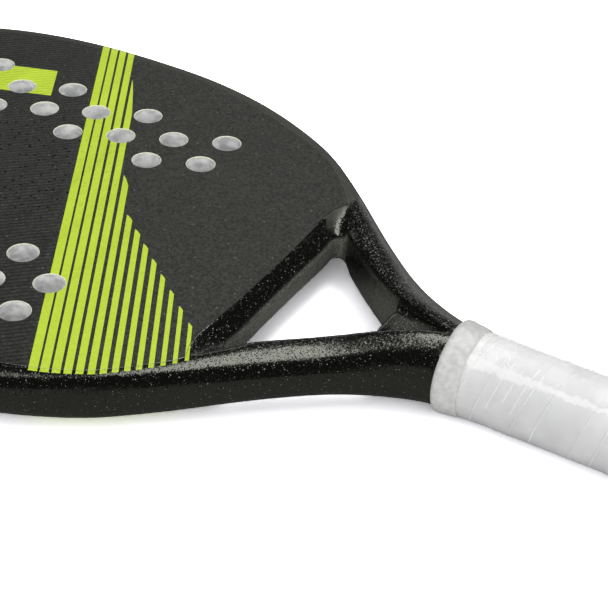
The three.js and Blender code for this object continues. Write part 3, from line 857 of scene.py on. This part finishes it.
def winding_group():
    """How far a point lies behind the front edge of the turn that it is on, in millimetres."""
    tree = bpy.data.node_groups.new("winding", "ShaderNodeTree")
    tree.interface.new_socket("Point", in_out="INPUT", socket_type="NodeSocketVector")
    tree.interface.new_socket("Start Angle", in_out="INPUT", socket_type="NodeSocketFloat")
    tree.interface.new_socket("Behind Edge", in_out="OUTPUT", socket_type="NodeSocketFloat")
    tree.interface.new_socket("Angle", in_out="OUTPUT", socket_type="NodeSocketFloat")
    entry = add(tree, "NodeGroupInput")
    leave = add(tree, "NodeGroupOutput")
    x, y, z = split_xyz(entry.outputs["Point"])
    angle = maths("ARCTAN2", x, z)
    turn = maths("DIVIDE", maths("SUBTRACT", entry.outputs["Start Angle"], angle), 2 * math.pi)
    rows = maths("DIVIDE", maths("SUBTRACT", y, grip_back), grip_pitch)
    behind = maths("FRACT", maths("SUBTRACT", turn, rows))
    feed(leave.inputs["Behind Edge"], product(behind, grip_pitch / mm))
    feed(leave.inputs["Angle"], angle)
    return tree


winding = winding_group()


def wound(point, start_angle):
    group = add(point.id_data, "ShaderNodeGroup", node_tree=winding)
    feed(group.inputs["Point"], point)
    feed(group.inputs["Start Angle"], start_angle)
    return group.outputs["Behind Edge"], group.outputs["Angle"]


film_alpha = 0.38
film_material, film_tree, film_shader = new_material(
    "clear_film", (0.93, 0.93, 0.93), 0.2, Alpha=film_alpha, Specular_IOR_Level=0.12)
film_point = object_point(film_tree)
behind_edge, film_angle = wound(film_point, film_start)
# The film's edges and the grip's seams under it are drawn as white lines: painted highlights where
# the edges catch the light.
film_edge_highlight = maths("LESS_THAN", behind_edge, 0.3)
behind_seam, _ = wound(film_point, grip_start)
seam_highlight = maths("LESS_THAN", behind_seam, 0.6)
film_y = maths("DIVIDE", split_xyz(film_point)["Y"], mm)
ragged = grain(film_point, 260, 2, (0.8, 1.0, 0.8))
# Short parallel creases lie across the first turn, each with its distance behind the seam
# in millimetres and the angles at which it starts and ends.
creases = None
for distance, from_angle, to_angle in ((4.3, -88, -20), (8.9, -72, -26), (13.5, -84, -15),
                                       (16.4, -64, -22)):
    on_line = maths("COMPARE", behind_seam, distance, 0.4)
    middle = math.radians((from_angle + to_angle) / 2)
    on_arc = maths("COMPARE", film_angle, middle, math.radians((to_angle - from_angle) / 2))
    crease = product(on_line, on_arc)
    creases = largest(creases, crease) if creases else crease
creases = product(creases, maths("COMPARE", film_y, -148.2, 9.3))
# A long ragged band of painted highlight runs down the film, and small whitened crumples lie beside
# the collar.
highlight_wander = product(maths("SUBTRACT", ragged, 0.5), math.radians(16))
highlight_angle = total(math.radians(-36), highlight_wander)
highlight_reach = ramp(maths("DIVIDE", film_y, -250.0), greys((0.54, 0.17), (0.68, 0.09)))
off_highlight = maths("ABSOLUTE", maths("SUBTRACT", film_angle, highlight_angle))
painted_highlight_band = maths("SUBTRACT", 1.0, maths("DIVIDE", off_highlight, highlight_reach), clamp=True)
painted_highlight_band = product(maths("MINIMUM", painted_highlight_band, 0.55), 0.75)
crumple_row = maths("COMPARE", film_y, -136.0, 7.5)
crumple_arc = maths("COMPARE", film_angle, math.radians(-18), math.radians(26))
crumple_line = maths("COMPARE", grain(film_point, 190, 1), 0.52, 0.016)
crumples = product(crumple_row, crumple_arc, crumple_line, 0.3)
# The painted highlights and the whitened creases and crumples are mixed in as white.
highlights_and_whitening = largest(product(film_edge_highlight, 0.2), product(seam_highlight, 0.25),
                   product(creases, 0.24), painted_highlight_band, crumples)
film_cloud = ramp(grain(film_point, 75, 5),
                  [(0.3, (0.74, 0.74, 0.745)), (0.7, (0.87, 0.87, 0.87))])
feed(film_shader.inputs["Base Color"], blend(highlights_and_whitening, film_cloud, (1.0, 1.0, 1.0)))
feed(film_shader.inputs["Alpha"], total(film_alpha, product(highlights_and_whitening, 0.55)))
bump(film_shader, grain(film_point, 120, 4, (0.5, 2.2, 0.5)), 1.0 * mm, 0.5)
film_bm = wound_strip(film_start, film_width, lift=2.3 * mm, thickness=0.3 * mm, corner=0.05 * mm,
                      edge_bead=0.08 * mm, front_lift=0.3 * mm)
film = new_object("grip_film_wrap", film_bm, film_material, "grip_film", 60)
film.visible_shadow = False


# Finishing tape: thin vinyl tape that holds the front end of the grip.
tape_material = grained_material("vinyl_tape", (0.82, 0.82, 0.80), 0.35, 300, 2,
                                 [(0.3, (0.78, 0.78, 0.76)), (0.7, (0.85, 0.85, 0.83))])


def turned_piece(profile, steps):
    """A closed ring of (radius, y) points turned round the handle's line."""
    count = len(profile)

    def place(u, v):
        radius, y = profile[int(round(u * count)) % count]
        angle = 2 * math.pi * (v % 1.0)
        return Vector((radius * math.sin(angle), y, radius * math.cos(angle)))

    return placed_grid(count, steps, place, fill_ends=False)


tape_low = pallet_radius(grip_front) + 2.02 * mm
tape_high = tape_low + 0.3 * mm
tape_bm = turned_piece([(tape_low, -124 * mm), (tape_high, -124.1 * mm),
                        (tape_high, -130.2 * mm), (tape_low, -130.3 * mm)], steps=128)
new_object("vinyl_tape_ring", tape_bm, tape_material, "finishing_tape", 40)


# Collar: a soft off-white rubber ring stretched over the neck and the grip's front end,
# with a rolled bead at its front.
collar_material = grained_material("collar_rubber", (0.74, 0.75, 0.70), 0.4, 480, 4,
                                   [(0.36, (0.505, 0.505, 0.495)), (0.64, (0.615, 0.615, 0.60))],
                                   (1600, 0.05 * mm, 0.5))


def collar_profile(angle):
    """The ring's section at one angle, as (radius, y) in millimetres, snug on the oval neck."""
    neck_radius = 1 / math.hypot(math.sin(angle) / 17.5, math.cos(angle) / 15.4)
    points = [(neck_radius, -119.6), (neck_radius, -118.2), (neck_radius + 0.5, -117.3)]
    bead_steps = 8
    for i in range(bead_steps + 1):
        turn = math.pi / 2 * i / bead_steps
        points.append((17.3 + 1.6 * math.sin(turn), -119.0 + 2.0 * math.cos(turn)))
    points += [(18.9, -120.3), (18.75, -120.9), (18.6, -121.5), (18.45, -123.0), (18.2, -125.2),
               (17.95, -126.6), (17.75, -127.2), (17.5, -127.45), (17.3, -127.3), (17.3, -122),
               (17.2, -120.2)]
    return points


def collar_place(u, v):
    angle = 2 * math.pi * (v % 1.0)
    profile = collar_profile(angle)
    radius, y = profile[int(round(u * len(profile))) % len(profile)]
    return Vector((radius * mm * math.sin(angle), y * mm, radius * mm * math.cos(angle)))


collar_bm = placed_grid(len(collar_profile(0)), 144, collar_place, fill_ends=False)
new_object("rubber_collar", collar_bm, collar_material, "grip_collar", 60)


# Butt cap: a moulded plastic cap closes the handle, with a flange, a sleeve inside the
# grip and two cord holes.
cap_material = grained_material("cap_plastic", (0.012, 0.012, 0.012), 0.4, 900, 3,
                                greys((0.3, 0.010), (0.7, 0.018)), (2200, 0.08 * mm, 0.6))
# Radius and place along the handle, in millimetres.
cap_profile = [(0, -250), (17.9, -250), (18.5, -249.85), (19.0, -249.5), (19.3, -248.9),
               (19.3, -245.5), (19.1, -245.1), (18.7, -245), (15.8, -245), (15.7, -241),
               (15.3, -225), (13.95, -225), (13.95, -245), (0, -245)]
cap_bm = bmesh.new()
cap_points = [cap_bm.verts.new((radius * mm, y * mm, 0)) for radius, y in cap_profile]
cap_edges = [cap_bm.edges.new(pair) for pair in zip(cap_points, cap_points[1:])]
bmesh.ops.spin(cap_bm, geom=cap_points + cap_edges, cent=(0, 0, 0), axis=(0, 1, 0),
               angle=2 * math.pi, steps=96, use_merge=True)
bmesh.ops.remove_doubles(cap_bm, verts=cap_bm.verts, dist=1e-6)
bmesh.ops.recalc_face_normals(cap_bm, faces=cap_bm.faces)
cap_smooth_angle = 35
cap = new_object("moulded_butt_cap", cap_bm, cap_material, "butt_cap",
                 cap_smooth_angle)
drill_bm = bmesh.new()
cord_radius, cord_hole_x, cord_hole_y = 2.5 * mm, 5.5 * mm, -248 * mm
for side in (-1, 1):
    drill_place = Matrix.Translation((side * cord_hole_x, cord_hole_y, 0))
    bmesh.ops.create_cone(drill_bm, cap_ends=True, segments=48, radius1=cord_radius,
                          radius2=cord_radius, depth=12 * mm,
                          matrix=drill_place @ Matrix.Rotation(math.pi / 2, 4, "X"))
drill_mesh = bpy.data.meshes.new("cord_holes")
drill_bm.to_mesh(drill_mesh)
drill_bm.free()
drill = bpy.data.objects.new("cord_holes", drill_mesh)
bpy.context.scene.collection.objects.link(drill)
drilling = cap.modifiers.new("cord_holes", "BOOLEAN")
drilling.object = drill
drilled = bpy.data.meshes.new_from_object(cap.evaluated_get(bpy.context.evaluated_depsgraph_get()))
cap.modifiers.clear()
cap.data = drilled
bpy.data.objects.remove(drill)
cap.data.shade_smooth()
cap.data.set_sharp_from_angle(angle=math.radians(cap_smooth_angle))


# Stage: the racket lies on a white floor, on the top of its head and on the collar bead.
rest_a, rest_b = Vector((0, 239.5, -10.5)) * mm, Vector((0, -119, -18.9)) * mm
floor_slope = (rest_a.z - rest_b.z) / (rest_a.y - rest_b.y)
floor_bm = bmesh.new()
bmesh.ops.create_grid(floor_bm, x_segments=2, y_segments=2, size=4.0)
for vertex in floor_bm.verts:
    vertex.co.z = rest_a.z + (vertex.co.y - rest_a.y) * floor_slope
floor_mesh = bpy.data.meshes.new("floor")
floor_bm.to_mesh(floor_mesh)
floor_bm.free()
floor = bpy.data.objects.new("floor", floor_mesh)
bpy.context.scene.collection.objects.link(floor)
# The camera sees the floor overexposed, with a painted contact shadow: a darker line where the racket
# touches it.
floor_material, floor_tree, floor_shader = new_material(
    "floor", (0.78, 0.785, 0.80), 0.9, Specular_IOR_Level=0.0)
floor_path = add(floor_tree, "ShaderNodeLightPath")
floor_colour = blend(floor_path.outputs["Is Glossy Ray"], (0.76, 0.76, 0.77),
                     (0.29, 0.295, 0.275))
closeness = add(floor_tree, "ShaderNodeAmbientOcclusion", samples=8)
feed(closeness.inputs["Distance"], 7 * mm)
floor_with_painted_contact_shadow = ramp(closeness.outputs["AO"], greys((0.0, 0.5), (0.3, 0.93), (0.5, 1)))
overexposed = vector_maths("MULTIPLY", floor_with_painted_contact_shadow, (2.6, 2.58, 2.66))["Vector"]
floor_colour = blend(floor_path.outputs["Is Camera Ray"], floor_colour, overexposed)
feed(floor_shader.inputs["Base Color"], floor_colour)
floor_mesh.materials.append(floor_material)

# The camera sees white all round. Glossy surfaces see a dark studio with a soft wall on the
# far side and a weak one to -X, and matt ones are lit from the camera's side.
world = bpy.data.worlds.new("world")
bpy.context.scene.world = world
world.use_nodes = True
world_tree = world.node_tree
back = world_tree.nodes["Background"]
direction = add(world_tree, "ShaderNodeTexCoord").outputs["Generated"]
sky_x, sky_y, sky_z = split_xyz(direction)
towards_far = total(product(sky_x, 0.887), product(sky_y, 0.46))
low_sky = ramp(sky_z, greys((0.0, 1), (0.25, 1), (0.38, 0), (1.0, 0)))
far_side = ramp(towards_far, greys((0.0, 0), (0.62, 0), (0.76, 1), (1.0, 1)))
left_side = ramp(product(sky_x, -1), greys((0.0, 0), (0.70, 0), (0.85, 0.3), (1.0, 0.3)))
walls = total(product(far_side, 0.69), left_side)
mirrored = total(product(walls, low_sky), 0.03)
path = add(world_tree, "ShaderNodeLightPath")
seen = maths("ADD", path.outputs["Is Camera Ray"], path.outputs["Is Transmission Ray"],
             clamp=True)
fill = largest(maths("SUBTRACT", 0.62, product(towards_far, 1.05)), 0.02)
for_diffuse = blend(path.outputs["Is Diffuse Ray"], mirrored, fill)
feed(back.inputs["Color"], blend(seen, for_diffuse, (1.0, 1.0, 1.0)))
feed(back.inputs["Strength"], 1.0)


def soft_lamp(name, towards, lengthwise, distance, size, power):
    """A rectangular lamp that faces the origin, its long side along lengthwise."""
    data = bpy.data.lights.new(name, "AREA")
    data.shape = "RECTANGLE"
    data.size, data.size_y = size
    data.energy = power
    lamp = bpy.data.objects.new(name, data)
    bpy.context.scene.collection.objects.link(lamp)
    out = Vector(towards).normalized()
    across = out.cross(Vector(lengthwise)).normalized()
    turned = Matrix((across.cross(out), across, out)).transposed().to_4x4()
    lamp.matrix_world = Matrix.Translation(out * distance) @ turned


soft_lamp("overhead", towards=(0.38, -0.01, 0.92), lengthwise=(0.9, 0.43, 0), distance=1.6,
          size=(1.4, 0.58), power=13)
soft_lamp("handle_strip", towards=(-0.2, 0.22, 0.95), lengthwise=(1, 0, 0), distance=1.6,
          size=(0.5, 0.16), power=1.0)
